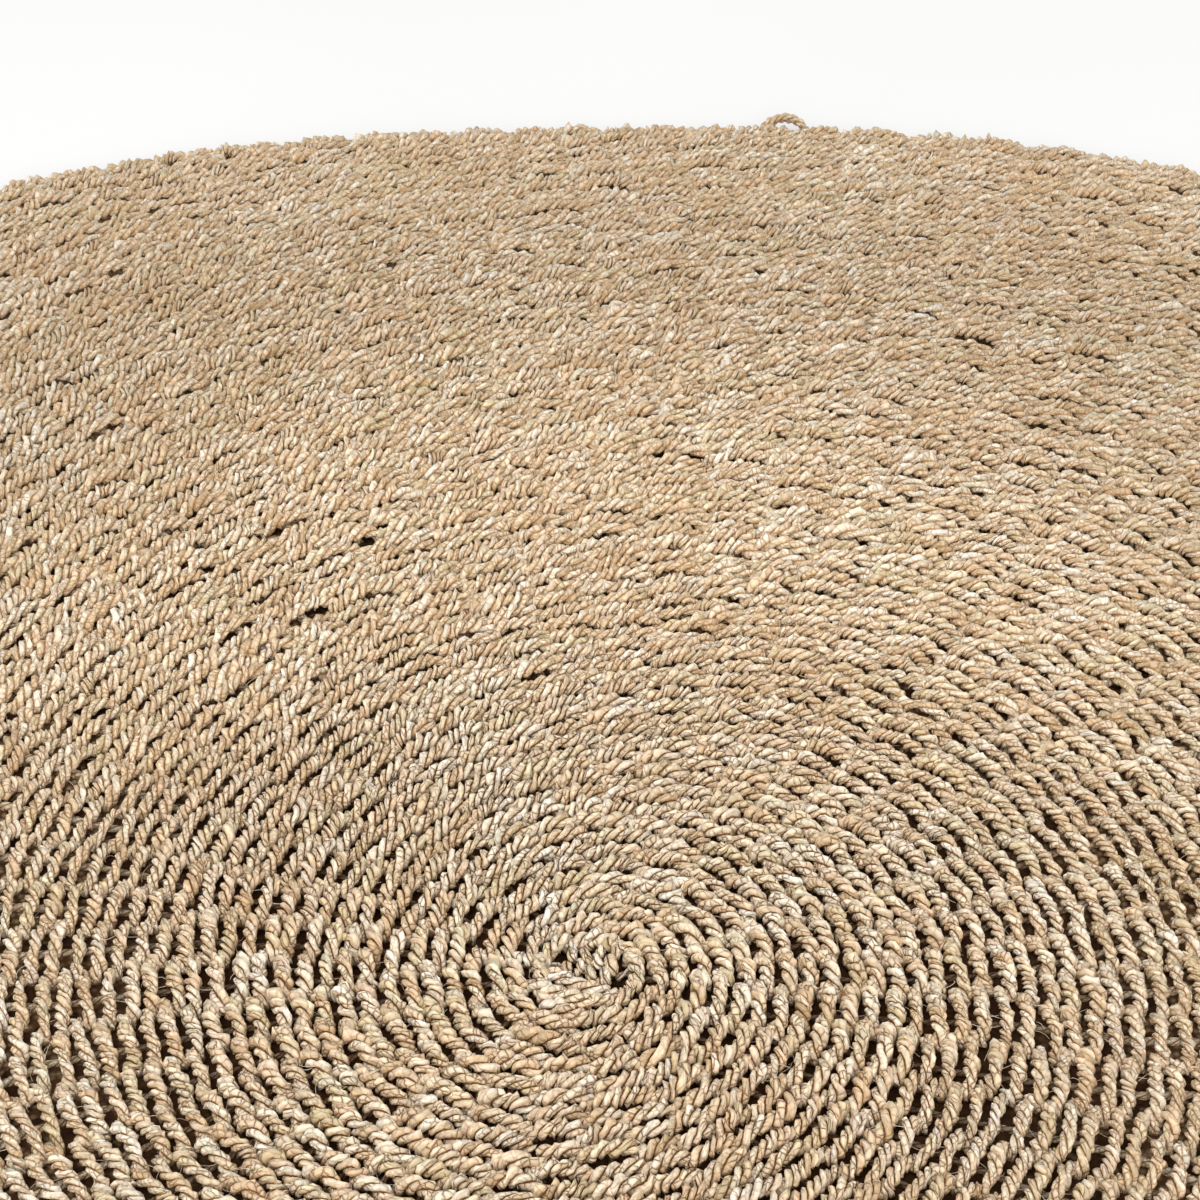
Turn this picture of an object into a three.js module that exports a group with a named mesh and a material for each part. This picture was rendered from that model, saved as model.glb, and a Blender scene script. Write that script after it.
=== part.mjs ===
// Round rug, hand twined from one plant-fibre cord on a hub of radial spokes.
// Units are millimetres, +Z is up, and the origin is the middle of the
// underside, so the rug lies on the plane z = 0.
//
// The rug is one piece. Its rows of cord run round the middle from the hub
// to the edge, and each row lies over the spokes in short slanted stitches.
// The solid is the true outer form of that weave: a flat disc with a level
// underside, a softly rounded edge that is drawn in between the stitches of
// the last row, an outline that is slightly out of round, and a top that
// rises and falls a little because the rows were pulled up by hand.

import * as THREE from 'three';
import { mergeVertices } from 'three/addons/utils/BufferGeometryUtils.js';

// ---- driving dimensions -------------------------------------------------

const ROW_PITCH = 9.12;          // middle of one row of cord to the next
const ROWS = 82;                 // rows from the hub to the edge
const CORD_DIAMETER = 7;         // twisted cord of several plies
const THICKNESS = 14;            // cord below, spoke, cord above, pulled tight
const EDGE_STITCHES = 148;       // stitches in the last row
const SCALLOP_DEPTH = 3.6;       // how far the edge draws in between stitches
const FACES_PER_SCALLOP = 3;     // facets along each stitch of the edge

// Middle of the last row, then half a cord and the bulge of its stitches.
const RADIUS = ROW_PITCH * ROWS + CORD_DIAMETER / 2 + 4.4;

// Section of the edge: how far each level lies in from the outline, and its
// share of the thickness.
const EDGE_SECTION = [
  { level: 'underside', inset: 5.0, share: 0.0 },
  { level: 'belly',     inset: 0.0, share: 0.5 },
  { level: 'shoulder',  inset: 5.5, share: 0.93 },
];

// Circles of the top between the edge and the hub: radius as a share of the
// rug's radius, height as a share of the thickness, and how much of the
// unevenness reaches there.
const TOP_CIRCLES = [
  { share: 0.955, height: 0.985, uneven: 1.0 },
  { share: 0.70,  height: 0.975, uneven: 0.9 },
  { share: 0.38,  height: 0.970, uneven: 0.7 },
  { share: 0.10,  height: 0.985, uneven: 0.25 },
];

// Out-of-round outline: number of bulges, how far out, where the first is.
const OUTLINE_WAVES = [
  { bulges: 2,  out: 1.5, at: -9 },
  { bulges: 3,  out: 2.9, at: 26 },
  { bulges: 4,  out: 4.1, at: 43 },
  { bulges: 5,  out: 4.8, at: -19 },
  { bulges: 6,  out: 4.7, at: -1 },
  { bulges: 8,  out: 2.3, at: -20 },
  { bulges: 31, out: 0.7, at: 4 },
];

// Unevenness of the top: number of rises round the rug, height, first rise.
const TOP_WAVES = [
  { rises: 3,  height: 0.35, at: 70 },
  { rises: 7,  height: 0.25, at: 18 },
  { rises: 19, height: 0.20, at: 5 },
];

const FIBRE_COLOUR = 0xc4a880;   // dry straw

// ---- functions ----------------------------------------------------------

const radians = THREE.MathUtils.degToRad;

function outlineOffset(angle) {
  let offset = 0;
  for (const { bulges, out, at } of OUTLINE_WAVES) {
    offset += out * Math.cos(bulges * (angle - radians(at)));
  }
  // Each stitch of the last row bulges, and the edge draws in at its ends.
  const stitch = Math.abs(Math.cos((EDGE_STITCHES * angle) / 2));
  return offset - SCALLOP_DEPTH * (1 - stitch);
}

function topOffset(angle) {
  let offset = 0;
  for (const { rises, height, at } of TOP_WAVES) {
    offset += height * Math.cos(rises * (angle - radians(at)));
  }
  return offset;
}

// The profile runs from the middle of the underside, out round the edge and
// back over the top to the middle. Each point carries the share of the
// outline's and of the top's unevenness that it takes.
function profile() {
  const rows = [{ r: 0, z: 0, outline: 0, top: 0 }];
  for (const { inset, share } of EDGE_SECTION) {
    rows.push({
      r: RADIUS - inset,
      z: THICKNESS * share,
      outline: 1,
      top: share,
    });
  }
  for (const { share, height, uneven } of TOP_CIRCLES) {
    rows.push({
      r: RADIUS * share,
      z: THICKNESS * height,
      outline: share > 0.9 ? 0.4 : 0,
      top: uneven,
    });
  }
  rows.push({ r: 0, z: THICKNESS, outline: 0, top: 0 });
  return rows;
}

function rugGeometry() {
  const rows = profile();
  const points = rows.map(({ r, z }) => new THREE.Vector2(r, z));
  const segments = EDGE_STITCHES * FACES_PER_SCALLOP;
  let geometry = new THREE.LatheGeometry(points, segments);
  geometry.rotateX(Math.PI / 2);

  // Draw the outline in and out, and raise and lower the top.
  const position = geometry.getAttribute('position');
  for (let i = 0; i < position.count; i++) {
    const row = rows[i % rows.length];
    const step = Math.floor(i / rows.length) % segments;
    const angle = (step / segments) * Math.PI * 2;
    const r = row.r > 0 ? row.r + row.outline * outlineOffset(angle) : 0;
    position.setXYZ(
      i,
      r * Math.cos(angle),
      r * Math.sin(angle),
      row.z + row.top * topOffset(angle),
    );
  }

  geometry.deleteAttribute('normal');
  geometry.deleteAttribute('uv');
  geometry = mergeVertices(geometry, 1e-4);

  // The fan at each pole has one flat, empty triangle per facet: drop those.
  const index = geometry.getIndex().array;
  const kept = [];
  for (let i = 0; i < index.length; i += 3) {
    const [a, b, c] = [index[i], index[i + 1], index[i + 2]];
    if (a !== b && b !== c && c !== a) kept.push(a, b, c);
  }
  geometry.setIndex(kept);

  // Put the middle of the outline's box over the origin.
  geometry.computeBoundingBox();
  const middle = geometry.boundingBox.getCenter(new THREE.Vector3());
  geometry.translate(-middle.x, -middle.y, 0);
  geometry.computeVertexNormals();
  return geometry;
}

// ---- the rug ------------------------------------------------------------

const group = new THREE.Group();

const rug = new THREE.Mesh(
  rugGeometry(),
  new THREE.MeshStandardMaterial({
    color: FIBRE_COLOUR,
    roughness: 0.82,
    metalness: 0,
  }),
);
rug.name = 'rug';
group.add(rug);

export default group;
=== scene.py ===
# Round rug, twined from three-ply plant-fibre cord over radial spokes.
# Metres, +Z up, origin at the middle of the underside.
import bpy
import math
import numpy as np
from mathutils import Matrix, Vector


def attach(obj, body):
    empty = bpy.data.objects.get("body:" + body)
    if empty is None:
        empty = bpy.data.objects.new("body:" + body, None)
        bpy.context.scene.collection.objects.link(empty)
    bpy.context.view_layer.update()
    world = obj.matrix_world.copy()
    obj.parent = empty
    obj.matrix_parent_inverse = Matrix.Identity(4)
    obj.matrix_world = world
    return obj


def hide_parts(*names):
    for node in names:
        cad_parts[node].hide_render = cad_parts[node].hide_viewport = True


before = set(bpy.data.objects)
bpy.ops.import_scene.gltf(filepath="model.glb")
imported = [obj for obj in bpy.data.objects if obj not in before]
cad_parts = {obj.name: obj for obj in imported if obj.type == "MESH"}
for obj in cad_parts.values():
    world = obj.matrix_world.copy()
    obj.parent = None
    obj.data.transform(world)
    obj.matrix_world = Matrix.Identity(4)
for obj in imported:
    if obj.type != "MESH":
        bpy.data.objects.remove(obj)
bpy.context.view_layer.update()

# ---------------------------------------------------------------- sizes
PITCH = 0.00912        # middle of one row to the next
ROWS = 82              # rows from the hub to the edge
OFFSET = 0.30          # pitches from the hub that the rows start late
CORD_R = 0.00375       # half the cord's width across its plies
PLIES = 3
LAY = 0.0152           # length of one full turn of the twist
MID = 0.0066           # height of the cord where two stitches cross
ARCH = 0.0043          # rise of the cord from a crossing to its spoke
SLANT = math.radians(12.5)
DRIFT = 0.11           # how far each column leans, pitches a row
SEAM = math.radians(-100.0)   # where one turn of the spiral ends
FADE_ROWS = 12         # rows over which the spiral closes into a ring
BULGE = 0.0022         # how far the last row bulges at its spokes
EDGE_R = PITCH * (ROWS + OFFSET)

# Slow unevenness of the plan: waves round, size at the edge, where it peaks.
PLAN_WAVES = [(2, 0.0015, -9), (3, 0.0029, 26), (4, 0.0041, 43),
              (5, 0.0048, -19), (6, 0.0047, -1), (8, 0.0023, -20)]

# Stitches in a row: row number, stitches.
STITCHES = [
    (2, 8), (3, 10), (4, 12), (5, 14), (6, 17), (7, 20), (8, 23), (9, 27),
    (10, 31), (12, 38), (14, 41), (18, 42), (20, 44), (22, 47), (26, 54),
    (30, 60), (40, 77), (50, 93), (60, 109), (70, 127), (82, 148),
]

RNG = np.random.default_rng(20817)

# ---------------------------------------------------------------- camera
FRAME_PX = 1200.0
LENS_PX = 2757.6       # focal length in pixels of the frame
TILT = math.radians(38.46)     # below the horizon
ROLL = math.radians(-1.27)
HUB_PX = (593.0, 969.0)        # the hub in the frame
EYE_ABOVE = 0.8516     # camera above the tops of the stitches
TOP_Z = 0.0125


def ray(u, v):
    """Direction of the ray through a pixel."""
    x, y = (u - FRAME_PX / 2) / LENS_PX, -(v - FRAME_PX / 2) / LENS_PX
    c, s = math.cos(ROLL), math.sin(ROLL)
    x, y = c * x - s * y, s * x + c * y
    return np.array((x, math.cos(TILT) + y * math.sin(TILT), -math.sin(TILT) + y * math.cos(TILT)))


def make_camera():
    d = ray(*HUB_PX)
    t = -EYE_ABOVE / d[2]
    place = (-d[0] * t, -d[1] * t, TOP_Z + EYE_ABOVE)
    right = np.array([1.0, 0, 0])
    up = np.array([0, math.sin(TILT), math.cos(TILT)])
    back = -np.array([0, math.cos(TILT), -math.sin(TILT)])
    c, s = math.cos(ROLL), math.sin(ROLL)
    axes = [c * right + s * up, -s * right + c * up, back]
    data = bpy.data.cameras.new("camera")
    data.sensor_width = 36.0
    data.lens = LENS_PX * 36.0 / FRAME_PX
    data.clip_start, data.clip_end = 0.05, 60.0
    cam = bpy.data.objects.new("camera", data)
    bpy.context.collection.objects.link(cam)
    m = Matrix.Identity(4)
    for i in range(3):
        for j in range(3):
            m[i][j] = float(axes[j][i])
        m[i][3] = float(place[i])
    cam.matrix_world = m
    bpy.context.scene.camera = cam
    return np.array(place), np.array(axes)


EYE, AXES = make_camera()


def project(p):
    """Pixels of the frame, and depth, of points (n, 3)."""
    q = (p - EYE) @ AXES.T
    depth = -q[:, 2]
    return (FRAME_PX / 2 + LENS_PX * q[:, 0] / depth,
            FRAME_PX / 2 - LENS_PX * q[:, 1] / depth, depth)


def under_pixel(u, v, z):
    """The point at height z that shows at a pixel."""
    d = ray(u, v)
    return EYE + d * ((z - EYE[2]) / d[2])


# ---------------------------------------------------------------- lattice
def stitches_in(row):
    rows_, counts = zip(*STITCHES)
    return int(round(float(np.interp(row, rows_, counts))))


def spiral(row, at):
    """Radius of a row at an angle, and its rise for each radian."""
    turn = np.mod(at - SEAM, 2 * math.pi) / (2 * math.pi)
    w = min(1.0, (ROWS - row) / FADE_ROWS)
    return PITCH * (row + OFFSET + w * (turn - 0.5)), w * PITCH / (2 * math.pi)


def plan(r, ang):
    """The radius with the rug's slow unevenness of plan."""
    e = sum(size * np.cos(n * (ang - math.radians(at))) for n, size, at in PLAN_WAVES)
    return r * (1 + e / EDGE_R * (r / EDGE_R) ** 2)


def uneven(x, y):
    """Slow rise and fall of the top over the floor."""
    return (0.0004 * np.sin(9.1 * x + 1.3) * np.cos(7.7 * y - 0.4)
            + 0.0003 * np.sin(21.0 * x - 13.0 * y + 0.7)
            + 0.0003 * np.cos(37.0 * y + 9.0 * x))


def lattice():
    """Angles of the spokes at each row. A spoke is added where the gap is
    widest, and the others make room for it over the next rows."""
    first = STITCHES[0][0]
    n = stitches_in(first)
    at = np.sort(np.arange(n) / n * 2 * math.pi + RNG.normal(0, 0.05, n))
    out = {}
    for row in range(first, ROWS + 1):
        want = stitches_in(row)
        while len(at) < want:
            gaps = np.diff(np.append(at, at[0] + 2 * math.pi))
            i = int(np.argmax(gaps * RNG.uniform(0.75, 1.0, len(gaps))))
            at = np.insert(at, i + 1, at[i] + gaps[i] * RNG.uniform(0.42, 0.58))
        at = at + DRIFT / row + RNG.normal(0, 0.045 / row, len(at))
        for _ in range(2):
            left = np.roll(at, 1); left[0] -= 2 * math.pi
            right = np.roll(at, -1); right[-1] += 2 * math.pi
            at = at + 0.16 * ((left + right) / 2 - at)
        out[row] = at.copy()
    return out


def all_stitches(rows):
    """One entry for each stitch: row, angle of its spoke, and how far it
    reaches to either side."""
    out = []
    for row, at in rows.items():
        n = len(at)
        nxt = np.append(at[1:], at[0] + 2 * math.pi)
        cross = (at + nxt) / 2 + RNG.normal(0, 0.06, n) * (nxt - at)
        prev = np.roll(cross, 1)
        prev[0] -= 2 * math.pi
        r, climb = spiral(row, at)
        out.append(np.stack([np.full(n, row), at, r, (at - prev) * r, (cross - at) * r,
                             np.full(n, climb)], 1))
    a = np.concatenate(out)
    return dict(row=a[:, 0], at=a[:, 1], r=a[:, 2], back=a[:, 3], fore=a[:, 4], climb=a[:, 5])


# ---------------------------------------------------------------- cord mesh
def lobe(alpha, apart=0.51):
    """Half-width of a cord at an angle from the middle of a ply, as a share
    of its largest: round plies pressed together, their middles this share
    of it from the middle of the cord."""
    each = 2 * math.pi / PLIES
    a = alpha - each * np.round(alpha / each)
    return apart * np.cos(a) + np.sqrt((1 - apart) ** 2 - (apart * np.sin(a)) ** 2)


class Cords:
    """Closed cords gathered into one mesh."""

    def __init__(self):
        self.p, self.t, self.c, self.k, self.uv, self.own = [], [], [], [], [], []
        self.base = self.count = 0

    def add(self, line, half, spin, angles, ident, plain=False, seed=0, flat=1.0, lumps=0.14, rough=0.05):
        """Cords that follow line (n, m, 3). spin (n, m) is the turn of the
        plies at each station and angles are those of a section's points."""
        n, m, _ = line.shape
        k = len(angles)
        rng = np.random.default_rng(seed)
        step = np.linalg.norm(np.diff(line, axis=1), axis=2)
        s = np.concatenate([np.zeros((n, 1)), np.cumsum(step, 1)], 1)
        t = np.gradient(line, axis=1)
        t /= np.linalg.norm(t, axis=2, keepdims=True)
        up = np.zeros_like(t); up[..., 2] = 1
        nn = up - (up * t).sum(2, keepdims=True) * t
        nn /= np.linalg.norm(nn, axis=2, keepdims=True)
        ss = np.cross(t, nn)
        phi = angles[None, None, :]
        alpha = phi - spin[:, :, None]
        if plain:
            rad = half[..., None] * 0.88 * np.ones_like(alpha)
        else:
            # Each ply swells and thins along its own length.
            knots = np.abs(spin - spin[:, :1]) * 2.4 / math.pi
            q = int(knots.max()) + 3
            swell = rng.normal(0, 1, (n, PLIES, q))
            i0 = np.floor(knots).astype(int)
            f = knots - i0
            rows_ = np.arange(n)[:, None]
            g = np.stack([swell[rows_, j, i0] * (1 - f) + swell[rows_, j, i0 + 1] * f for j in range(PLIES)], -1)
            ply = np.round(alpha * PLIES / (2 * math.pi))
            g = np.take_along_axis(g, np.mod(ply, PLIES).astype(int), axis=2) * np.abs(np.cos(alpha * PLIES / 2))
            # Its neighbours press each cord a little square.
            square = (np.abs(np.cos(phi)) ** 2.5 + np.abs(np.sin(phi)) ** 2.5) ** (-1 / 2.5)
            lumps = np.asarray(lumps, float).reshape(-1, 1, 1)
            rad = half[..., None] * lobe(alpha) * square * (1 + lumps * np.clip(g, -1.6, 1.6))
        rad = rad * (1 + rough * rng.normal(0, 1, (n, m, k)))
        flat = np.broadcast_to(np.asarray(flat, float).reshape(-1, 1, 1), (n, 1, 1))
        p = (line[:, :, None, :]
             + (rad * np.cos(phi))[..., None] * ss[:, :, None, :]
             + (rad * np.sin(phi) * flat)[..., None] * nn[:, :, None, :])
        ids = np.arange(n * m * k).reshape(n, m, k)
        nxt = np.roll(ids, -1, axis=2)
        a, d, b, c = ids[:, :-1], ids[:, 1:], nxt[:, :-1], nxt[:, 1:]
        uu = 0.07 + 0.86 * np.arange(m) / (m - 1)
        vv = np.arange(k + 1) / k
        ua, va = np.meshgrid(uu[:-1], vv[:-1], indexing="ij")
        ub, vb = np.meshgrid(uu[1:], vv[1:], indexing="ij")
        A = np.stack([ua, va], -1); C = np.stack([ub, vb], -1)
        D = np.stack([ub, va], -1); B = np.stack([ua, vb], -1)
        own = np.arange(n)[:, None, None] + np.zeros((1, m - 1, k), int)
        tri = [np.stack([a, d, c], -1).reshape(-1, 3), np.stack([a, c, b], -1).reshape(-1, 3)]
        uv = [np.broadcast_to(np.stack([A, D, C], 2), (n, m - 1, k, 3, 2)).reshape(-1, 3, 2),
              np.broadcast_to(np.stack([A, C, B], 2), (n, m - 1, k, 3, 2)).reshape(-1, 3, 2)]
        owner = [own.ravel(), own.ravel()]
        ring = np.stack([0.5 + 0.4 * np.sin(2 * math.pi * np.arange(k) / k),
                         0.5 + 0.4 * np.cos(2 * math.pi * np.arange(k) / k)], -1)
        lo = np.stack([0.005 + 0.05 * ring[:, 0], ring[:, 1]], -1)
        hi = np.stack([0.945 + 0.05 * ring[:, 0], ring[:, 1]], -1)
        for j in range(1, k - 1):
            tri += [np.stack([ids[:, 0, 0], ids[:, 0, j], ids[:, 0, j + 1]], -1),
                    np.stack([ids[:, -1, 0], ids[:, -1, j + 1], ids[:, -1, j]], -1)]
            uv += [np.broadcast_to(lo[[0, j, j + 1]], (n, 3, 2)), np.broadcast_to(hi[[0, j + 1, j]], (n, 3, 2))]
            owner += [np.arange(n)] * 2
        coord = np.stack([alpha * PLIES / (2 * math.pi), np.broadcast_to(s[:, :, None], alpha.shape),
                          np.broadcast_to(phi / (2 * math.pi), alpha.shape)], -1)
        self.p.append(p.reshape(-1, 3)); self.t.append(np.concatenate(tri) + self.base)
        self.c.append(coord.reshape(-1, 3)); self.uv.append(np.concatenate(uv))
        self.k.append(np.repeat(ident + np.array([0, 0, 2.0 if plain else 0.0]), m * k, axis=0))
        self.own.append(np.concatenate(owner) + self.count)
        self.base += n * m * k
        self.count += n

    def make(self, name, material, aspect=1.6):
        p, t, c = (np.concatenate(v) for v in (self.p, self.t, self.c))
        k, uv, own = (np.concatenate(v) for v in (self.k, self.uv, self.own))
        cols = max(1, int(round(math.sqrt(self.count / aspect)))) if aspect else 1
        lines_ = -(-self.count // cols)
        cell = np.stack([own % cols, own // cols], -1)[:, None, :]
        uv = (cell + 0.04 + 0.92 * uv) / np.array([cols, lines_])
        me = bpy.data.meshes.new(name)
        me.vertices.add(len(p))
        me.vertices.foreach_set("co", np.ascontiguousarray(p, np.float32).ravel())
        me.loops.add(3 * len(t))
        me.loops.foreach_set("vertex_index", np.ascontiguousarray(t, np.int32).ravel())
        me.polygons.add(len(t))
        me.polygons.foreach_set("loop_start", np.arange(0, 3 * len(t), 3, dtype=np.int32))
        me.update(calc_edges=True)
        me.shade_smooth()
        # The groove between the plies is a crisp edge.
        off = np.abs(c[:, 0] - np.round(c[:, 0])) > 0.499
        edges = np.zeros(2 * len(me.edges), np.int32)
        me.edges.foreach_get("vertices", edges)
        edges = edges.reshape(-1, 2)
        crisp = off[edges].all(1) & (k[edges[:, 0], 2] < 1.5)
        sharp = me.attributes.new("sharp_edge", "BOOLEAN", "EDGE")
        sharp.data.foreach_set("value", crisp)
        for key, v in (("cord", c), ("tone", k)):
            at = me.attributes.new(key, "FLOAT_VECTOR", "POINT")
            at.data.foreach_set("vector", np.ascontiguousarray(v, np.float32).ravel())
        layer = me.uv_layers.new(name="OFBake")
        layer.data.foreach_set("uv", np.ascontiguousarray(uv, np.float32).ravel())
        me.materials.append(material)
        ob = bpy.data.objects.new(name, me)
        bpy.context.collection.objects.link(ob)
        print(name, "cords", self.count, "triangles", len(t))
        return ob


# ---------------------------------------------------------------- materials
class Nodes:
    """A short way to write a node tree."""

    def __init__(self, name):
        self.mat = bpy.data.materials.new(name)
        self.mat.use_nodes = True
        self.t = self.mat.node_tree
        self.t.nodes.clear()

    def node(self, kind, *ins, **values):
        nd = self.t.nodes.new(kind)
        for k, v in values.items():
            setattr(nd, k, v)
        for i, v in enumerate(ins):
            self.put(nd.inputs[i], v)
        return nd

    def put(self, socket, v):
        if isinstance(v, bpy.types.NodeSocket):
            self.t.links.new(v, socket)
        elif v is not None:
            socket.default_value = v

    def math(self, op, a, b=None, c=None):
        return self.node("ShaderNodeMath", a, b, c, operation=op).outputs[0]

    def vec(self, x, y, z):
        return self.node("ShaderNodeCombineXYZ", x, y, z).outputs[0]

    def split(self, v):
        return self.node("ShaderNodeSeparateXYZ", v).outputs

    def grey(self, v):
        return self.node("ShaderNodeCombineColor", v, v, v).outputs[0]

    def ramp(self, fac, low, high, to_low=0.0, to_high=1.0, smooth=True):
        return self.node("ShaderNodeMapRange", fac, low, high, to_low, to_high,
                         interpolation_type="SMOOTHSTEP" if smooth else "LINEAR").outputs[0]

    def noise(self, vector, scale, detail=0.0, rough=0.5):
        nd = self.node("ShaderNodeTexNoise", vector)
        nd.inputs["Scale"].default_value = scale
        nd.inputs["Detail"].default_value = detail
        nd.inputs["Roughness"].default_value = rough
        return nd.outputs[0]

    def net(self, vector, feature, randomness=0.9):
        """An irregular net of facets."""
        nd = self.node("ShaderNodeTexVoronoi", voronoi_dimensions="2D", feature=feature)
        self.put(nd.inputs["Vector"], vector)
        nd.inputs["Scale"].default_value = 1.0
        nd.inputs["Randomness"].default_value = randomness
        return nd.outputs

    def mix(self, fac, a, b, blend="MIX"):
        nd = self.node("ShaderNodeMix", data_type="RGBA", blend_type=blend)
        for s, v in zip((nd.inputs[0], nd.inputs[6], nd.inputs[7]), (fac, a, b)):
            self.put(s, v if isinstance(v, (bpy.types.NodeSocket, float, int)) else (*v, 1))
        return nd.outputs[2]

    def palette(self, fac, stops):
        nd = self.node("ShaderNodeValToRGB", fac)
        el = nd.color_ramp.elements
        while len(el) < len(stops):
            el.new(0.5)
        for e, (p, col) in zip(el, stops):
            e.position = p
            e.color = (*col, 1)
        return nd.outputs[0]

    def surface(self, colour, rough, specular, height=None, strength=0.5, distance=0.001):
        bsdf = self.node("ShaderNodeBsdfPrincipled")
        self.put(bsdf.inputs["Base Color"], colour)
        self.put(bsdf.inputs["Roughness"], rough)
        self.put(bsdf.inputs["Specular IOR Level"], specular)
        if height is not None:
            bump = self.node("ShaderNodeBump")
            bump.inputs["Strength"].default_value = strength
            bump.inputs["Distance"].default_value = distance
            self.put(bump.inputs["Height"], height)
            self.put(bsdf.inputs["Normal"], bump.outputs[0])
        out = self.node("ShaderNodeOutputMaterial")
        self.t.links.new(bsdf.outputs[0], out.inputs[0])
        return self.mat


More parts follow.
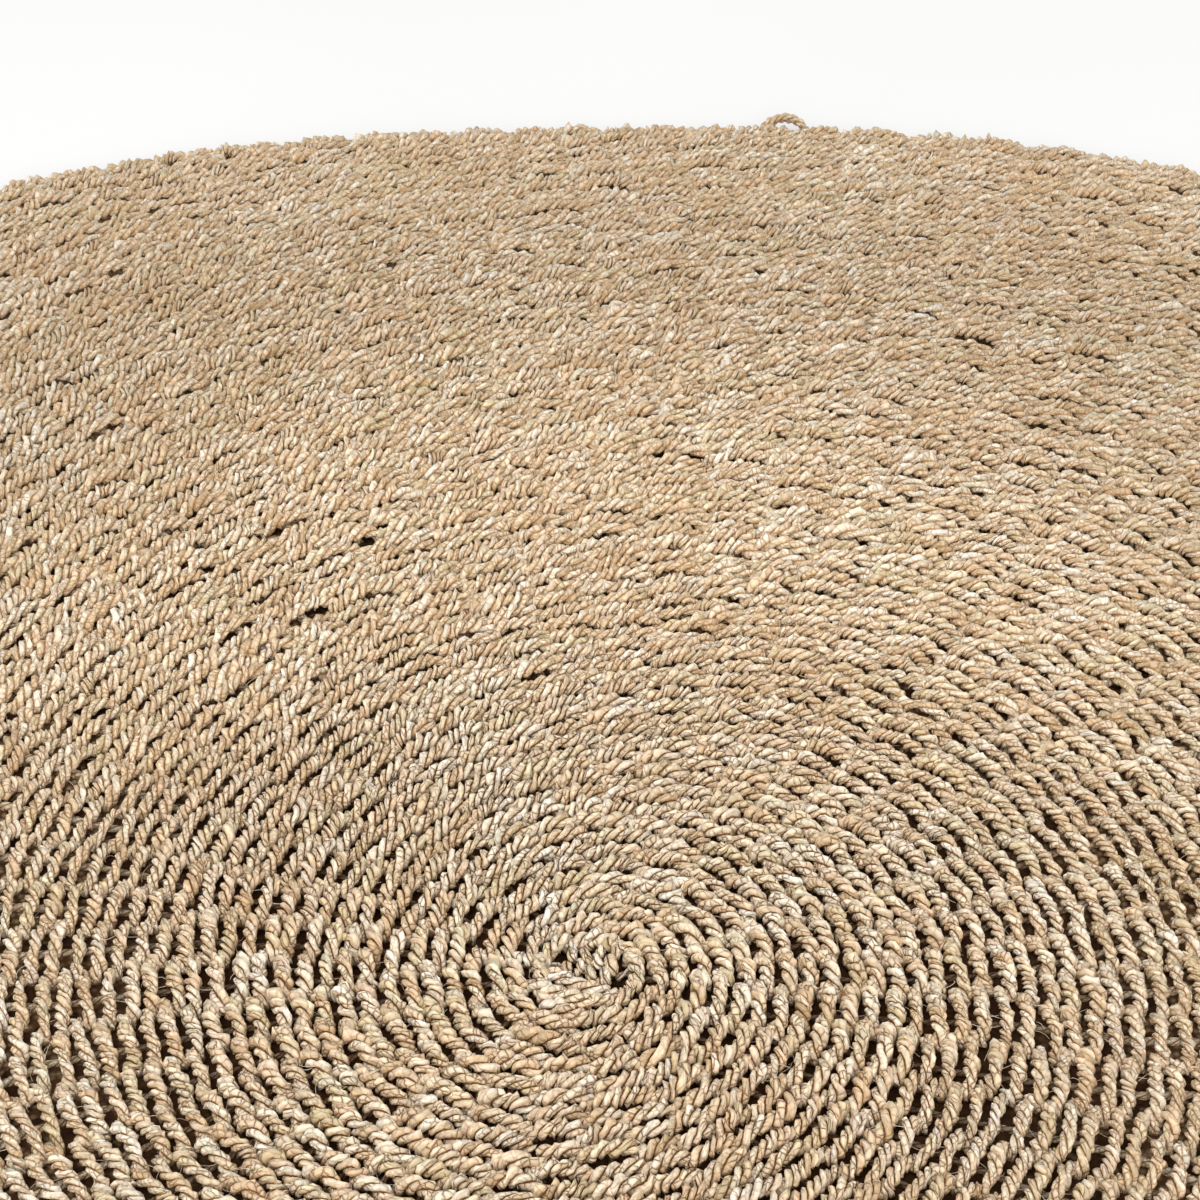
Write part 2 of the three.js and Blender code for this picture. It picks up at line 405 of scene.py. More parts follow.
def fibre_material():
    """Dry leaf cord: its plies are each a roll of narrow leaf strips."""
    n = Nodes("fibre")
    w, along, around = n.split(n.node("ShaderNodeAttribute", attribute_name="cord").outputs["Vector"])
    t1, t2, t3 = n.split(n.node("ShaderNodeAttribute", attribute_name="tone").outputs["Vector"])
    place = n.node("ShaderNodeTexCoord").outputs["Object"]
    height = n.split(place)[2]
    plain = n.math("GREATER_THAN", t3, 1.5)

    # Which ply shows, and how far this point is from the groove beside it.
    ply = n.math("ROUND", w)
    off = n.math("ABSOLUTE", n.math("SUBTRACT", w, ply))      # 0 ridge, 0.5 groove
    id_ = n.math("ADD", n.math("MULTIPLY", t1, 137.0), n.math("MULTIPLY", ply, 7.3))
    white = n.node("ShaderNodeTexWhiteNoise", n.vec(ply, n.math("MULTIPLY", t1, 91.0), 0.0), noise_dimensions="2D")
    p1, p2, p3 = n.node("ShaderNodeSeparateColor", white.outputs["Color"]).outputs

    # Each ply is a chain of folded leaf: creases part it into short rounded
    # facets, drawn as thin lines of painted shade, some of them hardly marked.
    x = n.math("MULTIPLY", along, 1000.0)
    side = n.math("SUBTRACT", w, ply)
    y = n.math("MULTIPLY", side, 4.6)
    grain = n.noise(n.vec(n.math("MULTIPLY", x, 0.30), n.math("MULTIPLY", y, 1.5), n.math("ADD", id_, 3.7)), 1.0, 2.0, 0.65)
    warp = n.math("MULTIPLY", n.math("SUBTRACT", grain, 0.5), 0.55)
    lean = n.math("ADD", n.math("MULTIPLY", p2, 1.3), 0.85)
    spot = n.vec(n.math("ADD", n.math("MULTIPLY", x, 0.50), n.math("MULTIPLY", side, lean)),
                 n.math("ADD", n.math("ADD", n.math("MULTIPLY", side, 1.5), warp), n.math("MULTIPLY", id_, 3.1)), 0.0)
    edge = n.net(spot, "DISTANCE_TO_EDGE")["Distance"]
    facet = n.net(spot, "F1")
    f1, f2, f3 = n.node("ShaderNodeSeparateColor", facet["Color"]).outputs
    dx, dy, _ = n.split(n.node("ShaderNodeVectorMath", spot, facet["Position"], operation="SUBTRACT").outputs[0])
    leanto = n.math("ADD", n.math("MULTIPLY", dx, n.math("SUBTRACT", f1, 0.5)), n.math("MULTIPLY", dy, n.math("SUBTRACT", f2, 0.5)))
    marked = n.ramp(n.noise(n.vec(n.math("MULTIPLY", x, 0.16), n.math("MULTIPLY", side, 0.6), n.math("ADD", id_, 51.3)), 1.0), 0.36, 0.62)
    width = n.math("ADD", n.math("MULTIPLY", marked, 0.075), 0.028)
    line = n.math("MULTIPLY", n.node("ShaderNodeMapRange", edge, 0.012, width, 1.0, 0.0, interpolation_type="SMOOTHSTEP").outputs[0],
                  n.math("ADD", n.math("MULTIPLY", marked, 0.85), 0.10))
    pillow = n.ramp(edge, 0.0, 0.30)
    wander = n.math("MULTIPLY", n.math("SUBTRACT", grain, 0.5), 0.12)
    near = n.math("ADD", off, wander)
    groove = n.ramp(near, 0.395, 0.475)
    flank_shade = n.ramp(near, 0.16, 0.50)

    px_, py_, _ = n.split(place)
    out = n.math("SQRT", n.math("ADD", n.math("MULTIPLY", px_, px_), n.math("MULTIPLY", py_, py_)))
    # A ramp from the hub outwards; it lightens the painted crease shade and brings in the painted side shade further
    # out.
    outward = n.ramp(out, 0.13, 0.26)

    # Colour: straw, with tan, rosy and greenish leaves.
    pick = n.math("ADD", n.math("MULTIPLY", p1, 0.72), n.math("MULTIPLY", t2, 0.28))
    col = n.palette(pick, [
        (0.00, (0.53, 0.365, 0.215)),
        (0.18, (0.66, 0.490, 0.325)),
        (0.38, (0.740, 0.592, 0.428)),
        (0.58, (0.790, 0.670, 0.530)),
        (0.78, (0.838, 0.754, 0.645)),
        (1.00, (0.885, 0.842, 0.770)),
    ])
    col = n.mix(n.ramp(p3, 0.70, 0.95, 0.0, 0.50), col, (0.76, 0.53, 0.37))
    leafy = n.math("ADD", n.math("MULTIPLY", n.math("FRACT", t3), 0.6), n.math("MULTIPLY", p2, 0.4))
    col = n.mix(n.ramp(leafy, 0.60, 0.88, 0.0, 0.46), col, (0.62, 0.575, 0.36))
    patch = n.noise(place, 5.5, 1.0, 0.5)
    col = n.mix(n.ramp(patch, 0.38, 0.68, 0.0, 0.20), col, (0.60, 0.41, 0.24))
    shade = n.math("MULTIPLY", n.ramp(grain, 0.28, 0.72, 0.82, 1.12, smooth=False), n.ramp(f3, 0.0, 1.0, 0.76, 1.13, smooth=False))
    col = n.mix(1.0, col, n.grey(shade), blend="MULTIPLY")
    col = n.mix(1.0, col, n.mix(outward, (0.995, 1.0, 0.965), (0.985, 1.0, 0.965)), blend="MULTIPLY")
    # Darker away from a point just beyond the hub: partly the rug's own browner outer tone, partly painted shade for
    # the light falling off.
    off_x, off_y = n.math("SUBTRACT", px_, -0.02), n.math("SUBTRACT", py_, 0.15)
    away = n.math("SQRT", n.math("ADD", n.math("MULTIPLY", off_x, off_x), n.math("MULTIPLY", off_y, off_y)))
    col = n.mix(1.0, col, n.grey(n.ramp(away, 0.18, 0.56, 1.06, 0.842)), blend="MULTIPLY")
    # Painted warm shade on each ply's flanks towards the groove.
    col = n.mix(n.math("MULTIPLY", flank_shade, 0.42), col, (0.56, 0.33, 0.145))
    # Painted warm shade beside the marked facet creases.
    rim_shade = n.math("MULTIPLY", n.ramp(edge, 0.05, 0.22, 1.0, 0.0), marked)
    col = n.mix(n.math("MULTIPLY", rim_shade, 0.34), col, (0.60, 0.36, 0.17))
    rim_rows = n.ramp(out, 0.56, 0.72)
    beyond = n.ramp(py_, 0.08, 0.24)
    # Painted shade: the colour of the dark creases and grooves, near black by the hub and lighter further out and in
    # the last rows.
    crease_shade = n.mix(outward, (0.070, 0.030, 0.009), n.mix(beyond, (0.27, 0.150, 0.065), (0.46, 0.290, 0.150)))
    crease_shade = n.mix(rim_rows, crease_shade, (0.58, 0.400, 0.235))
    # Painted shade in the creases between facets and in the groove between the plies.
    col = n.mix(n.math("MULTIPLY", line, 0.86), col, crease_shade)
    col = n.mix(n.math("MULTIPLY", groove, 0.92), col, crease_shade)
    # Painted shade: the less a face turns up, the browner it is tinted.
    tilt = n.split(n.node("ShaderNodeNewGeometry").outputs["Normal"])[2]
    col = n.mix(n.ramp(tilt, 0.0, 0.72, 0.30, 0.0), col, (0.60, 0.37, 0.175))
    # More painted shade on the sides of the cords, in the outer rows.
    side_shade = n.math("MULTIPLY", n.ramp(tilt, 0.10, 0.80, 0.16, 0.0), outward)
    col = n.mix(side_shade, col, (0.50, 0.30, 0.13))
    # Painted shade: low down between the stitches the cords turn near black brown, most near the hub.
    deep = n.math("MULTIPLY", n.ramp(height, 0.0038, 0.0098, 0.96, 0.0), n.ramp(out, 0.14, 0.29, 1.0, 0.10))
    col = n.mix(deep, col, (0.105, 0.044, 0.013))

    rough = n.ramp(grain, 0.3, 0.7, 0.50, 0.72)
    h = n.math("MULTIPLY", grain, 0.35)
    h = n.math("ADD", h, n.math("MULTIPLY", pillow, 0.65))
    h = n.math("ADD", h, n.math("MULTIPLY", leanto, 2.3))
    h = n.math("SUBTRACT", h, n.math("MULTIPLY", line, 0.30))
    h = n.math("SUBTRACT", h, n.math("MULTIPLY", groove, 0.5))
    round_ = n.math("MULTIPLY", n.math("MULTIPLY", off, off), n.math("MULTIPLY", plain, 7.0))
    h = n.math("SUBTRACT", h, round_)
    lift = n.math("MULTIPLY", beyond, n.ramp(out, 0.34, 0.52, 0.05, 0.0))
    lift = n.math("ADD", n.math("ADD", n.math("MULTIPLY", rim_rows, 0.10), 1.0), lift)
    col = n.mix(1.0, col, n.grey(lift), blend="MULTIPLY")
    # Less sheen where shade is painted low down and in the grooves.
    sheen = n.math("MULTIPLY", n.math("SUBTRACT", 1.0, deep), n.math("SUBTRACT", 1.0, n.math("MULTIPLY", groove, 0.8)))
    return n.surface(col, rough, n.math("MULTIPLY", sheen, 0.40), h, 0.8, 0.0009)


def deep_material():
    """The under side of the weave, deep between the stitches. Near the hub it is coloured near black as painted shade
    in the gaps.
    """
    n = Nodes("fibre_deep")
    place = n.node("ShaderNodeTexCoord").outputs["Object"]
    x, y, z = n.split(place)
    r = n.math("SQRT", n.math("ADD", n.math("MULTIPLY", x, x), n.math("MULTIPLY", y, y)))
    turn = n.math("ARCTAN2", y, x)
    row = n.math("DIVIDE", r, PITCH)
    wave = n.math("COSINE", n.math("MULTIPLY", n.math("SUBTRACT", row, n.math("DIVIDE", turn, 2 * math.pi)), 2 * math.pi))
    wob = n.noise(place, 320.0, 2.0)
    h = n.math("ADD", n.math("MULTIPLY", wave, 0.5), n.math("MULTIPLY", wob, 0.8))
    # Painted shade: near black brown in the gaps between the stitches.
    deep = n.palette(wob, [(0.2, (0.020, 0.008, 0.003)), (0.6, (0.048, 0.020, 0.008)), (0.9, (0.105, 0.050, 0.020))])
    # Further out the lower cords fill the gaps, darkened between their knobs as painted shade, and some dark holes are
    # painted shadow.
    cells = n.net(n.node("ShaderNodeVectorMath", place, (260.0, 260.0, 260.0), operation="MULTIPLY").outputs[0], "F1")["Distance"]
    knob = n.ramp(cells, 0.10, 0.62, 1.0, 0.0)
    low = n.mix(knob, (0.075, 0.036, 0.014), (0.30, 0.20, 0.11))
    low = n.mix(n.ramp(n.noise(place, 88.0, 1.0), 0.43, 0.50, 1.0, 0.0), low, (0.030, 0.013, 0.005))
    low = n.mix(n.ramp(r, 0.42, 0.70, 0.0, 0.60), low, (0.34, 0.225, 0.125))
    deep = n.mix(n.ramp(r, 0.16, 0.30), deep, low)
    h = n.math("ADD", h, n.math("MULTIPLY", knob, n.ramp(r, 0.16, 0.30, 0.0, 1.2)))
    under = n.palette(n.math("MULTIPLY", n.math("ADD", wave, 1.0), 0.5),
                      [(0.0, (0.16, 0.09, 0.04)), (0.4, (0.50, 0.36, 0.21)), (1.0, (0.66, 0.50, 0.32))])
    col = n.mix(n.ramp(z, 0.0006, 0.0018, 1.0, 0.0), deep, under)
    return n.surface(col, 0.85, 0.08, h, 0.8, 0.002)


def hair_material():
    """Loose pale fibres."""
    n = Nodes("fibre_loose")
    place = n.node("ShaderNodeTexCoord").outputs["Object"]
    col = n.palette(n.noise(place, 60.0), [(0.3, (0.55, 0.40, 0.26)), (0.6, (0.80, 0.70, 0.56))])
    return n.surface(col, 0.6, 0.3)


FIBRE, DEEP, HAIR = fibre_material(), deep_material(), hair_material()

# ---------------------------------------------------------------- stitches
rows = lattice()
S = all_stitches(rows)
N = len(S["row"])
ident = RNG.random((N, 3))
rr0 = plan(S["r"], S["at"])
mid_points = np.stack([rr0 * np.cos(S["at"]), rr0 * np.sin(S["at"]), np.full(N, TOP_Z)], 1)
px, py, depth = project(mid_points)
MARGIN = 26
seen = (px > -MARGIN) & (px < FRAME_PX + MARGIN) & (py > -MARGIN) & (py < FRAME_PX + MARGIN)
scale = LENS_PX / depth / 1000.0          # pixels a millimetre

loose = np.interp(S["row"], [18, 36], [1.0, 1.1])
S["slope"] = np.tan(SLANT * np.interp(S["row"], [18, 32], [1.0, 0.64]) + RNG.normal(0, math.radians(2.8), N) * loose)
S["arch"] = ARCH * (1 + RNG.normal(0, 0.13, N)) * np.interp(S["row"], [2, 3, 8, 62, 76], [0.45, 0.6, 1.0, 1.0, 0.84])
S["mid"] = MID + RNG.normal(0, 0.0004, N) + np.interp(S["row"], [24, 40, 62, 74], [0, 0.0006, 0.0006, 0.0012])
S["half"] = CORD_R * (1 + RNG.normal(0, 0.065, N) * loose) * np.interp(S["row"], [4, 14, 19, 23, 34, 50], [0.90, 0.92, 0.86, 0.87, 0.98, 1.04])
S["half"] *= 1 + 0.12 * np.clip(np.sin(S["at"]), 0, 1) ** 2 * np.interp(S["row"], [10, 17, 26, 44, 66], [0, 1, 1.25, 1.0, 0.3])
S["half"] *= 1 - 0.06 * np.clip(-np.cos(S["at"]), 0, 1) ** 2 * np.interp(S["row"], [18, 26, 44, 60], [0, 1, 1, 0])
S["half"] *= 1 - 0.06 * np.clip(np.cos(S["at"]), 0, 1) ** 2 * np.interp(S["row"], [14, 19, 44, 60], [0, 1, 1, 0])
S["tall"] = np.interp(S["row"], [16, 27], [1.36, 1.0]) + RNG.normal(0, 0.06, N)
S["wild"] = np.interp(S["row"], [16, 30], [1.0, 1.7])
S["shift"] = RNG.normal(0, 0.00034, N) * loose
S["bow"] = RNG.normal(0, 0.00045, N) * loose
S["tip"] = RNG.normal(0, 0.00045, N) * loose
S["last"] = (S["row"] == ROWS).astype(float)
S["arch"] *= 1 - 0.45 * S["last"]
S["half"] *= 1 + 0.10 * S["last"]


def wobble(n, u, size, rng):
    """Small smooth wandering along each cord."""
    out = 0
    for f in (1.3, 2.9, 5.1):
        out = out + size / math.sqrt(f) * np.sin(2 * math.pi * (f * u + rng.random((n, 1)))) * rng.normal(0, 1, (n, 1))
    return out


def lines(f, m, seed, over=0.0030, below=False):
    """Middle lines of the stitches f at m stations."""
    rng = np.random.default_rng(seed)
    n = len(f)
    back, fore = S["back"][f] + over, S["fore"][f] + over
    step = 1 + 0.34 * wobble(n, np.linspace(0, 1, m - 1)[None, :], 1.0, rng)
    u = np.concatenate([np.zeros((n, 1)), np.cumsum(np.clip(step, 0.5, 2.0), 1)], 1)
    u /= u[:, -1:]
    x = -back[:, None] + (back + fore)[:, None] * u
    h = np.where(x < 0, S["back"][f][:, None], S["fore"][f][:, None])
    v = np.abs(x) / h
    col = lambda key: S[key][f][:, None]
    y = -col("slope") * h * (2 / math.pi) * np.sin(math.pi / 2 * np.minimum(v, 1.5)) * np.sign(x)
    if below:
        y = y * 0.3
    r = col("r") + col("shift") + col("climb") * x / col("r") + y + col("bow") * (1 - v * v)
    r = r + wobble(n, u, 0.00022, rng) * col("wild")
    r = r + col("last") * BULGE * (np.cos(np.minimum(v, 1.2) * math.pi / 2) - 0.35)
    ang = col("at") + x / col("r")
    rise = col("arch") * np.cos(math.pi / 2 * np.minimum(v, 1.5) ** 1.2) + col("tip") * x / h
    z = col("mid") + (-rise * 0.7 if below else rise) + wobble(n, u, 0.00018, rng) * col("wild")
    r = plan(r, ang)
    X, Y = r * np.cos(ang), r * np.sin(ang)
    return np.stack([X, Y, np.maximum(z + uneven(X, Y), 0.0054)], -1)


# Points of a section: most near the camera, fewer further off.
FINE = np.radians([-30, 0, 30, 60, 90, 120, 150, 180, 210])
MEDIUM = np.radians([-20, 20, 60, 100, 140, 180, 220])
FACING = np.radians([20, 60, 100, 140, 180, 220])
COARSE = np.radians([-30, 30, 90, 150, 210])
PLAIN = np.radians([0, 90, 180, 270])
SECTIONS = {4: FINE, 3: MEDIUM, 2: FACING, 1: COARSE, 0: PLAIN}
A_TURN = {4: 12, 3: 9, 2: 9, 1: 6}
PHASE = {4: 0.0, 3: 0.0, 2: 0.0, 1: math.pi / 6}   # puts points on the grooves

length = S["back"] + S["fore"] + 0.0060 + 0.0045
rank = np.zeros(N)
order = np.argsort(-np.where(seen, scale, -1))
rank[order] = np.arange(N)
seen_n = int(seen.sum())
FINE_N, MEDIUM_N = 460, 2089
facing = np.sin(S["at"]) > 0.80
grade = np.where(~seen, 0, np.where(rank < FINE_N, 4, np.where(rank < MEDIUM_N, np.where(facing, 2, 3), 1)))
segs = np.full(N, 4)
lay = LAY * np.clip(1 + RNG.normal(0, 0.20, N), 0.74, 1.7) * np.interp(S["row"], [1, 8, 20, 34, 70], [1.10, 1.02, 0.96, 1.12, 1.20])
for g, k in A_TURN.items():
    segs = np.where(grade == g, np.maximum(k // 2, np.round(length / lay * k)).astype(int), segs)


def gather(choice):
    out = Cords()
    for g, angles in SECTIONS.items():
        for m in np.unique(segs[choice & (grade == g)]):
            f = np.nonzero(choice & (grade == g) & (segs == m))[0]
            seed = 1000 * g + int(m) + 17 * int(f[0])
            line = lines(f, m + 1, seed)
            if g:
                step = 2 * math.pi / A_TURN[g]
                spin = np.arange(m + 1) * step + np.floor(ident[f, 2] * A_TURN[g])[:, None] * step + PHASE[g]
            else:
                d = np.linalg.norm(np.diff(line, axis=1), axis=2)
                s = np.concatenate([np.zeros((len(f), 1)), np.cumsum(d, 1)], 1)
                spin = 2 * math.pi * s / LAY + ident[f, 2:3] * 6.28
            u = np.linspace(-1, 1, m + 1)[None, :]
            half = S["half"][f][:, None] * (1 - 0.14 * u ** 4)
            out.add(line, half, spin, angles, ident[f], plain=(g == 0), seed=seed, flat=S["tall"][f], lumps=0.09 + 0.10 * S["wild"][f], rough=0.10 if g == 1 else 0.085)
    return out


cost = np.array([2 * len(SECTIONS[int(g)]) for g in grade])
tri_of = cost * segs + 2 * (cost // 2 - 2)
print("stitches", N, "seen", seen_n, "triangles", int(tri_of.sum()))

LIMIT = 185000
pieces, start, total = [], STITCHES[0][0], 0
for row in range(STITCHES[0][0], ROWS + 1):
    here = int(tri_of[S["row"] == row].sum())
    if total + here > LIMIT:
        pieces.append((start, row - 1)); start, total = row, 0
    total += here
pieces.append((start, ROWS))
cords = []
for a, b in pieces:
    cords.append(gather((S["row"] >= a) & (S["row"] <= b)).make(f"rows_{a:02d}_to_{b:02d}", FIBRE))


# ---------------------------------------------------------------- hub, edge
def along_curve(points, step):
    """A smooth line through points, at even steps."""
    p = np.array(points, float)
    p = np.concatenate([[2 * p[0] - p[1]], p, [2 * p[-1] - p[-2]]])
    out = []
    for i in range(1, len(p) - 2):
        t = np.linspace(0, 1, 24, endpoint=False)[:, None]
        a, b, c, d = p[i - 1], p[i], p[i + 1], p[i + 2]
        out.append(0.5 * (2 * b + (c - a) * t + (2 * a - 5 * b + 4 * c - d) * t ** 2 + (3 * b - a - 3 * c + d) * t ** 3))
    out = np.concatenate(out + [p[-2][None]])
    s = np.concatenate([[0], np.cumsum(np.linalg.norm(np.diff(out, axis=0), axis=1))])
    m = max(4, int(round(s[-1] / step)))
    at = np.linspace(0, s[-1], m + 1)
    return np.stack([np.interp(at, s, out[:, j]) for j in range(3)], -1)


# Pixel across, pixel down and height in millimetres of the cords at the
# hub, and half their width.
HUB = [
    (3.2, [(534, 970, 5.0), (542, 974, 8.6), (556.5, 977.5, 11.0), (573, 983, 11.8), (589, 987.5, 11.4), (606, 992, 9.0), (616, 994, 5.2)]),
    (3.2, [(528, 984, 5.5), (540, 989, 9.2), (553, 993, 11.0), (568, 997, 11.6), (582, 1000.5, 11.8), (594, 1001.5, 11.0), (608, 998, 8.6), (618, 994, 5.5)]),
    (1.5, [(540, 961, 5.6), (548, 964, 6.2), (556, 966, 6.4), (563, 969, 5.6)]),
    (1.4, [(616, 979, 5.6), (622, 975.5, 6.2), (628, 972, 6.2), (634, 971, 5.4)]),
    (2.2, [(575, 958, 5.6), (573, 951, 8.0), (572.5, 945, 8.8), (576, 941, 7.0), (580, 940, 5.6)]),
]
# The spokes start as a bunch of short fingers: pixel of the tip, pixel where
# it dives, width in pixels, height of the tip.
FINGERS = [
    (575.8, 942.0, 575.4, 950.5, 7.6, 9.0), (589.0, 939.0, 591.0, 950.5, 8.4, 8.2), (607.5, 938.6, 608.6, 950.0, 10.6, 9.6),
    (600.8, 947.0, 600.4, 957.5, 8.0, 9.6), (619.5, 942.5, 623.0, 954.0, 8.6, 9.4), (583.2, 949.6, 593.4, 967.4, 8.0, 10.2),
    (595.6, 956.2, 601.6, 968.6, 8.4, 10.4), (571.6, 951.0, 573.4, 962.0, 8.4, 9.8), (566.4, 964.0, 567.6, 975.0, 9.0, 10.4),
    (580.6, 961.2, 583.4, 972.4, 8.0, 10.2), (610.2, 957.4, 613.4, 974.0, 10.6, 11.4), (616.0, 949.4, 615.4, 959.0, 7.8, 9.8),
    (589.2, 967.6, 593.4, 982.0, 8.8, 10.4), (604.8, 969.2, 606.8, 985.6, 9.0, 10.6), (599.6, 979.4, 600.8, 989.0, 7.0, 9.4),
    (576.6, 970.8, 578.2, 978.2, 7.0, 9.2),
]
rng = np.random.default_rng(77)
special = Cords()
for i, (half, pts) in enumerate(HUB):
    line = along_curve([under_pixel(u, v, z / 1000) for u, v, z in pts], LAY * (0.9 + 0.12 * half) / 12)[None]
    m = line.shape[1]
    line = line + 0.00010 * rng.normal(0, 1, line.shape)
    spin = (np.arange(m) + i * 5)[None, :] * math.pi / 6
    u = np.linspace(-1, 1, m)[None, :]
    special.add(line, half / 1000 * 1.10 * (1 - 0.18 * u ** 4), spin, FINE, rng.random((1, 3)), seed=900 + i, lumps=0.24)
for i, (u0, v0, u1, v1, wide, top) in enumerate(FINGERS):
    pts = [(0.0, top - 3.4), (0.14, top - 0.6), (0.36, top), (0.64, top - 1.0), (1.0, top - 4.2)]
    line = along_curve([under_pixel(u0 + (u1 - u0) * f, v0 + 1.2 + (v1 - v0) * f, z / 1000) for f, z in pts], 0.0011)[None]
    m = line.shape[1]
    u = np.linspace(-1, 1, m)[None, :]
    half = wide / 2 / 2200 * 1.30 * np.sqrt(np.clip(1 - np.abs(u) ** 5, 0.12, 1))
    turn = math.pi / 6 * np.round(np.linspace(0, 2.2, m))[None, :]
    special.add(line, half, turn + math.pi / 2 + math.pi / 6 * (i % 3 - 1), FINE, rng.random((1, 3)), plain=i % 3 > 0, seed=940 + i, lumps=0.06)

# One end stands up as a loop at the far edge.
loop = [under_pixel(760, 134, 0.0050), under_pixel(764, 128, 0.0080), under_pixel(771, 121.5, 0.0115),
        under_pixel(783, 117.5, 0.0130), under_pixel(794, 119.5, 0.0120), under_pixel(802, 125.5, 0.0090),
        under_pixel(807, 133, 0.0050)]
line = along_curve(loop, LAY / 12)[None]
special.add(line, np.full(line.shape[:2], 0.0029), (np.arange(line.shape[1]) * math.pi / 6)[None, :],
            np.radians(np.arange(0, 360, 30)), rng.random((1, 3)), seed=990)

# Under the spokes of the last row runs the other strand of its pair.
f = np.nonzero(S["row"] == ROWS)[0]
line = lines(f, 10, 5, below=True)
special.add(line, np.full((len(f), 10), 0.0030), (np.arange(10)[None, :] + np.floor(ident[f, 1:2] * 6)) * math.pi / 3,
            np.radians([-60, 0, 60, 120, 180, 240]), ident[f], seed=5)
cords.append(special.make("hub_and_edge", FIBRE))


# ---------------------------------------------------------------- spokes
def spoke_chains():
    """Each spoke as the chain of its crossings from row to row."""
    chains, live = [], None
    for row in sorted(rows):
        at = rows[row]
        r, _ = spiral(row, at)
        if live is None:
            live = [[(row, r[i], at[i])] for i in range(len(at))]
            chains.extend(live)
            continue
        used, order_ = set(), []
        for i, a in enumerate(at):
            gap = [abs((a - c[-1][2] + math.pi) % (2 * math.pi) - math.pi) for c in live]
            j = int(np.argmin(gap))
            if gap[j] * row < 0.75 and j not in used:
                used.add(j)
                live[j].append((row, r[i], a))
                order_.append(live[j])
            else:
                c = [(row, r[i], a)]
                chains.append(c)
                order_.append(c)
        live = order_
    return chains


spokes = Cords()
for ci, chain in enumerate(spoke_chains()):
    if len(chain) < 3:
        continue
    a = np.array(chain)
    at = np.arange(0, len(a) - 0.5, 1.0)
    r = np.interp(at, np.arange(len(a)), a[:, 1])
    th = np.interp(at, np.arange(len(a)), np.unwrap(a[:, 2]))
    r = plan(r, th)
    x, y = r * np.cos(th), r * np.sin(th)
    u, v, d = project(np.stack([x, y, np.full(len(x), 0.006)], 1))
    ok = (u > -30) & (u < FRAME_PX + 30) & (v > 0) & (v < FRAME_PX + 30) & (LENS_PX / d / 1000 > 1.72)
    if ok.sum() < 4:
        continue
    i0, i1 = np.nonzero(ok)[0][[0, -1]]
    x, y = x[i0:i1 + 1], y[i0:i1 + 1]
    grown = np.interp(a[0, 0] + np.arange(i0, i1 + 1), [20, 34], [0.0, 1.0])
    z = 0.0040 + 0.0025 * grown + 0.0003 * np.sin(np.arange(len(x)) * 2.1 + ci)
    line = np.stack([x, y, z], -1)[None]
    d = np.linalg.norm(np.diff(line, axis=1), axis=2)
    s = np.concatenate([np.zeros((1, 1)), np.cumsum(d, 1)], 1)
    spokes.add(line, (0.0018 + 0.0013 * grown)[None], 2 * math.pi * s / 0.016 + 0.7 * ci,
               np.radians([0, 60, 120, 180, 270]), np.random.default_rng(ci).random((1, 3)), plain=True, seed=50000 + ci)
cords.append(spokes.make("spokes", FIBRE, aspect=0))

# ---------------------------------------------------------------- loose fibres
rng = np.random.default_rng(4141)
near_f = np.nonzero(seen & (rank < 900))[0]
pick = rng.choice(near_f, 620, replace=True)
n, m = len(pick), 5
u = np.linspace(0, 1, m)[None, :]
ang0 = S["at"][pick] + rng.uniform(-0.7, 0.7, n) * S["back"][pick] / S["r"][pick]
r0 = S["r"][pick] + rng.normal(0, 0.002, n)
head = rng.normal(0, 0.9, n)                   # radians from straight out
size = rng.uniform(0.005, 0.013, n)
bend = rng.normal(0, 1.3, n)
dx = np.cumsum(np.concatenate([np.zeros((n, 1)), np.cos(head[:, None] + bend[:, None] * u[:, 1:]) * size[:, None] / (m - 1)], 1), 1)
dy = np.cumsum(np.concatenate([np.zeros((n, 1)), np.sin(head[:, None] + bend[:, None] * u[:, 1:]) * size[:, None] / (m - 1)], 1), 1)
dx = dx - dx.mean(1, keepdims=True) * 0.9
r = r0[:, None] + PITCH / 2 + dx
ang = ang0[:, None] + dy / r
z = rng.uniform(0.0075, 0.0115, n)[:, None] + 0.0015 * np.sin(math.pi * u) * rng.normal(0, 1, (n, 1))
line = np.stack([r * np.cos(ang), r * np.sin(ang), z], -1)
hair = Cords()
hair.add(line, np.full((n, m), 0.00016) * (1 - 0.4 * u), np.zeros((n, m)), np.radians([90, 210, 330]),
         rng.random((n, 3)), plain=True, seed=3)
hairs = hair.make("loose_fibres", HAIR, aspect=8)
cords.append(hairs)


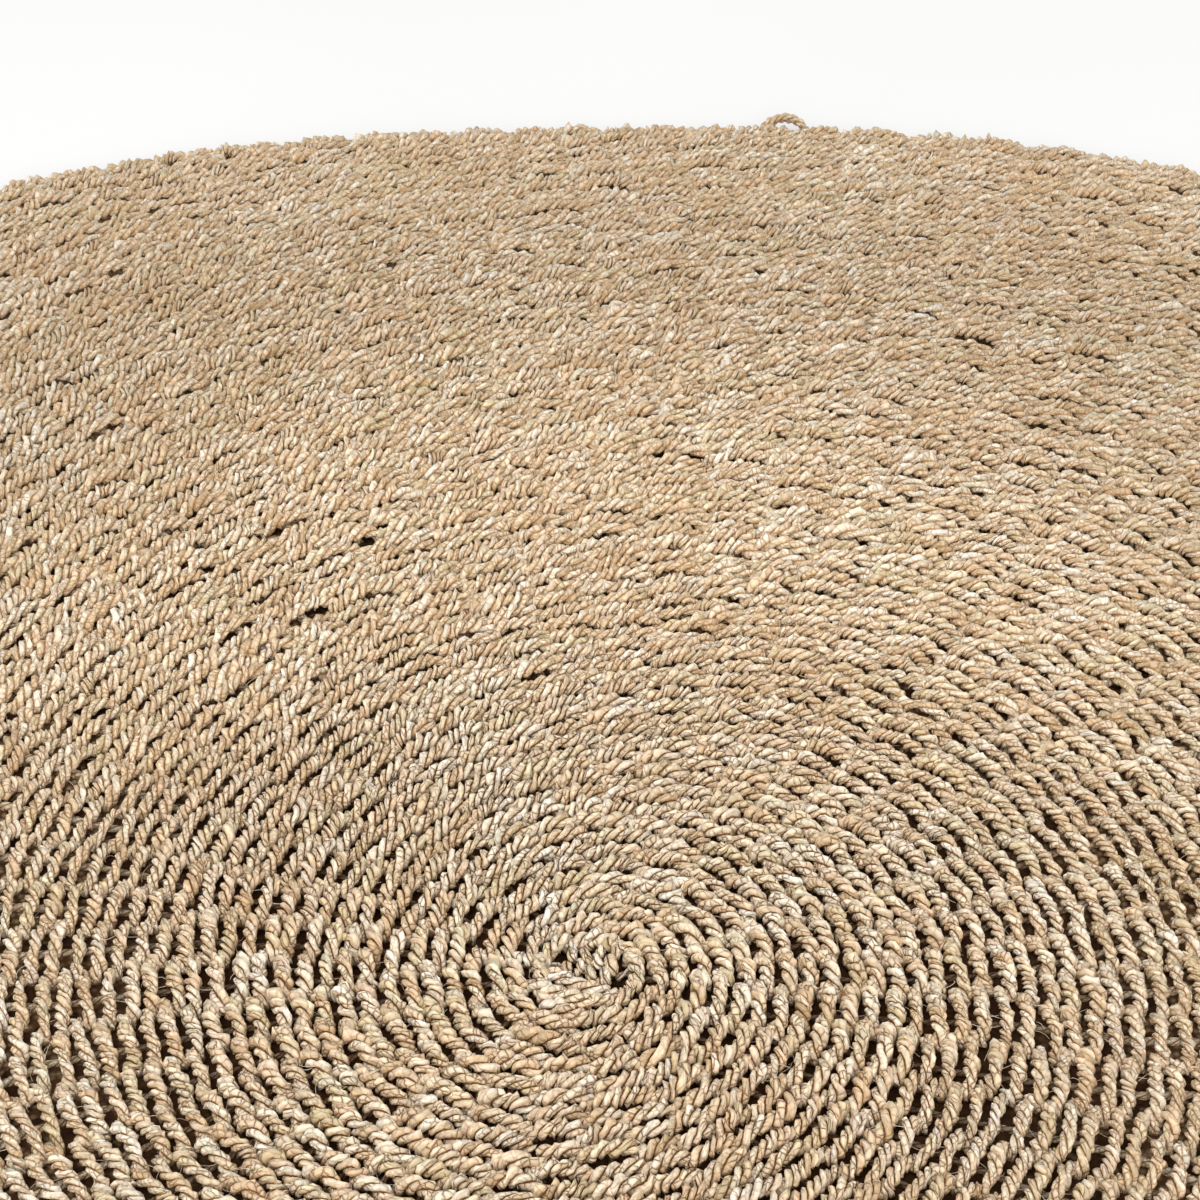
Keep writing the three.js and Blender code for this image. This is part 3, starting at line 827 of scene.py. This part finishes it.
# ---------------------------------------------------------------- under layer
def under_layer():
    """The closed layer that the stitches sink into, flat on the floor."""
    around, outer = 296, EDGE_R + 0.0012
    radii = np.concatenate([np.linspace(0.004, outer - 0.003, 22), [outer]])
    th = np.arange(around) / around * 2 * math.pi
    pts, k = [[0, 0, 0.0036]], len(radii)
    for i, r in enumerate(radii):
        rr = plan(r, th)
        rise = min(1.0, max(0.0, (r / PITCH - 18) / 16))
        z = 0.0034 + 0.0028 * rise + 0.0004 * np.sin(17 * th + 3.1 * i) if i < k - 1 else np.full(around, 0.0022)
        pts += np.stack([rr * np.cos(th), rr * np.sin(th), z * np.ones(around)], 1).tolist()
    low = len(pts)
    rr = plan(outer - 0.003, th)
    pts += np.stack([rr * np.cos(th), rr * np.sin(th), np.zeros(around)], 1).tolist()
    pts += [[0, 0, 0]]
    nx = (np.arange(around) + 1) % around
    j = np.arange(around)
    tris = [np.stack([np.zeros(around, int), 1 + j, 1 + nx], 1)]
    for i in range(k - 1):
        a, b = 1 + i * around, 1 + (i + 1) * around
        tris += [np.stack([a + j, b + j, b + nx], 1), np.stack([a + j, b + nx, a + nx], 1)]
    a = 1 + (k - 1) * around
    tris += [np.stack([a + j, low + j, low + nx], 1), np.stack([a + j, low + nx, a + nx], 1),
             np.stack([np.full(around, low + around), low + nx, low + j], 1)]
    me = bpy.data.meshes.new("under_layer")
    me.from_pydata(pts, [], np.concatenate(tris).tolist())
    me.shade_smooth()
    me.materials.append(DEEP)
    ob = bpy.data.objects.new("under_layer", me)
    bpy.context.collection.objects.link(ob)
    return ob


ground = under_layer()


# ---------------------------------------------------------------- stage
def stage_material():
    n = Nodes("floor")
    place = n.node("ShaderNodeTexCoord").outputs["Object"]
    g = n.ramp(n.noise(place, 3.0), 0.3, 0.7, 0.716, 0.724)
    return n.surface(n.grey(g), 0.9, 0.2)


me = bpy.data.meshes.new("floor")
side = 14.0
me.from_pydata([(-side, -side, -0.0002), (side, -side, -0.0002), (side, side, -0.0002), (-side, side, -0.0002)], [], [(0, 1, 2, 3)])
me.materials.append(stage_material())
floor = bpy.data.objects.new("floor", me)
bpy.context.collection.objects.link(floor)


def area_light(name, place, aim, size, power, colour):
    data = bpy.data.lights.new(name, "AREA")
    data.shape = "DISK"
    data.size = size
    data.energy = power
    data.color = colour
    ob = bpy.data.objects.new(name, data)
    ob.location = place
    ob.rotation_euler = (Vector(aim) - Vector(place)).to_track_quat("-Z", "Y").to_euler()
    bpy.context.collection.objects.link(ob)
    return ob


key = area_light("key", (-1.1, -1.0, 3.4), (0, 0.1, 0), 1.8, 37, (1.0, 0.985, 0.96))
front = area_light("front", (0.1, -2.0, 1.5), (0, 0.1, 0), 1.6, 29, (1.0, 0.99, 0.97))

world = bpy.data.worlds.new("world")
world.use_nodes = True
world.node_tree.nodes["Background"].inputs[0].default_value = (1.0, 1.0, 1.0, 1)
world.node_tree.nodes["Background"].inputs[1].default_value = 1.05
bpy.context.scene.world = world
bpy.context.scene.view_settings.view_transform = "Standard"
bpy.context.scene.view_settings.look = "None"

# ---------------------------------------------------------------- shift and attach
# The middle of the outline is over the origin, and the hub a little off it.
for ob in cords + [ground, bpy.context.scene.camera, key, front]:
    ob.location += Vector((0.0002, 0.0080, 0.0))
for ob in cords + [ground]:
    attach(ob, "root")
    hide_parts("rug")
